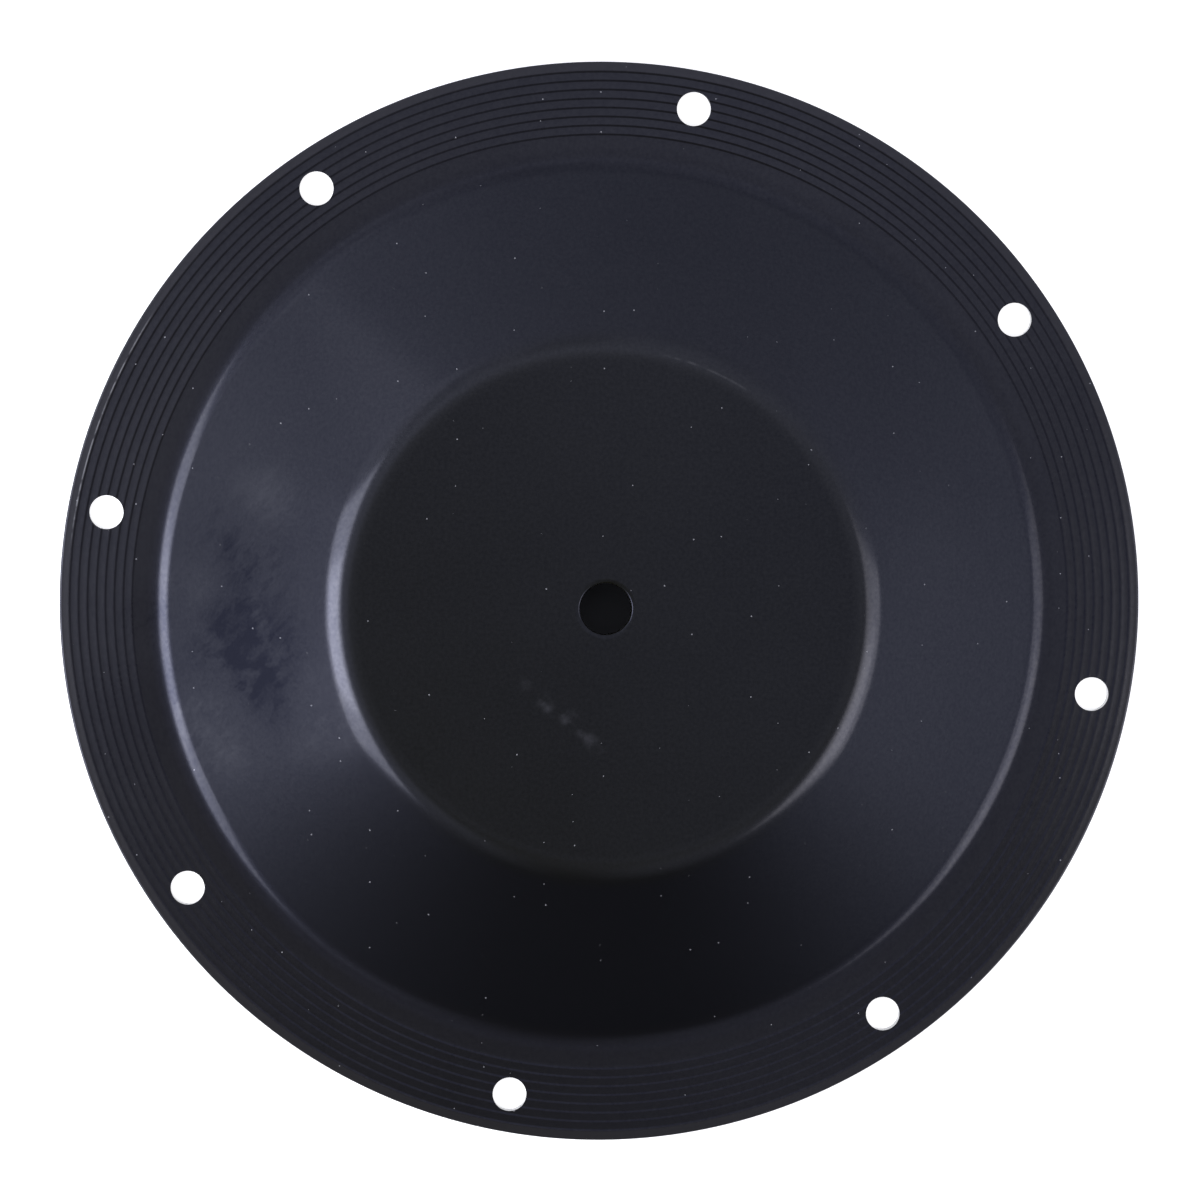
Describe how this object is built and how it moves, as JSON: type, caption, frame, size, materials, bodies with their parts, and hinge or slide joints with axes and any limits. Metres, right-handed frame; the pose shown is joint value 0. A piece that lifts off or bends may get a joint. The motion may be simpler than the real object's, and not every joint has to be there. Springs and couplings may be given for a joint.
{
  "type": "pump diaphragm",
  "caption": "Round rubber diaphragm shaped like a shallow hat, with a ribbed bolted flange, a sloping flexible wall and a flat raised centre with a stud hole, for an air-driven pump.",
  "frame": {"origin": "on the axis, in the plane of the flange's flat underside", "axes": "+Z along the axis of the disc, towards the raised centre; +X and +Y in the plane of the flange"},
  "size_m": [0.3556, 0.3556, 0.0368],
  "materials": {
    "rubber": "moulded black rubber, satin"
  },
  "bodies": {
    "root": {"diaphragm": "rubber"}
  },
  "joints": []
}
